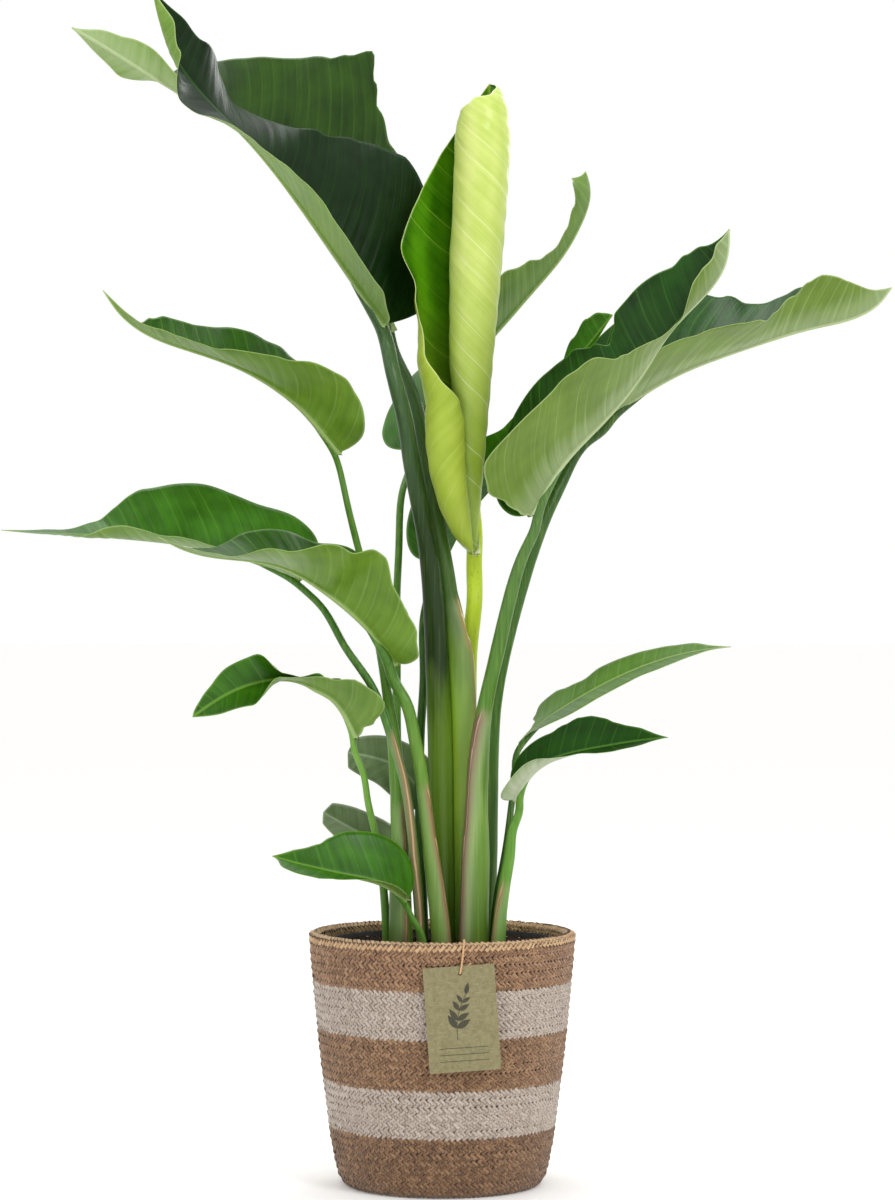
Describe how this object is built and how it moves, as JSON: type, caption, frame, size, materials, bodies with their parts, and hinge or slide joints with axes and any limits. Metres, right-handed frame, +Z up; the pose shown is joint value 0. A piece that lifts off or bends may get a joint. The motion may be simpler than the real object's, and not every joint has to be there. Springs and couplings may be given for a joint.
{
  "type": "potted bird of paradise plant",
  "caption": "Potted bird of paradise with long-stalked paddle leaves and a half-rolled new leaf, standing in a striped jute basket with a blank hang tag.",
  "frame": {"origin": "middle of the basket's underside, on the surface it stands on", "axes": "+Z up, -Y towards the side with the hang tag"},
  "size_m": [0.855, 0.3305, 1.1264],
  "materials": {
    "leaf_blade": "waxy green upper side, paler underside, parallel side veins",
    "new_leaf_blade": "fresh yellow-green, satin",
    "leaf_stalk": "smooth green with tan and reddish sheath margins",
    "new_leaf_stalk": "smooth light green",
    "potting_soil": "damp crumbs with white perlite",
    "pot_plastic": "thin black plastic",
    "braided_jute": "coiled jute braid in brown and off-white bands",
    "tag_card": "uncoated olive-grey card",
    "tag_twine": "twisted jute twine"
  },
  "bodies": {
    "root": {"blade_upper_left_front": "leaf_blade", "blade_upper_left_back": "leaf_blade", "blade_new_leaf": "new_leaf_blade", "blade_upper_back": "leaf_blade", "blade_dark_back": "leaf_blade", "blade_right_near": "leaf_blade", "blade_right_far": "leaf_blade", "blade_left_upper": "leaf_blade", "blade_left_mid_far": "leaf_blade", "blade_left_mid_near": "leaf_blade", "blade_left_twisted": "leaf_blade", "blade_low_back": "leaf_blade", "blade_low_left_front": "leaf_blade", "blade_low_left_back": "leaf_blade", "blade_right_small_upper": "leaf_blade", "blade_right_small_lower": "leaf_blade", "stalk_upper_left_front": "leaf_stalk", "stalk_upper_left_back": "leaf_stalk", "stalk_new_leaf": "new_leaf_stalk", "stalk_upper_back": "leaf_stalk", "stalk_dark_back": "leaf_stalk", "stalk_right_near": "leaf_stalk", "stalk_right_far": "leaf_stalk", "stalk_left_upper": "leaf_stalk", "stalk_left_mid_far": "leaf_stalk", "stalk_left_mid_near": "leaf_stalk", "stalk_left_twisted": "leaf_stalk", "stalk_low_back": "leaf_stalk", "stalk_low_left_front": "leaf_stalk", "stalk_low_left_back": "leaf_stalk", "stalk_right_small_upper": "leaf_stalk", "stalk_right_small_lower": "leaf_stalk", "potting_soil": "potting_soil", "nursery_pot": "pot_plastic", "basket": "braided_jute", "hang_tag": "tag_card", "tag_twine": "tag_twine"}
  },
  "joints": []
}
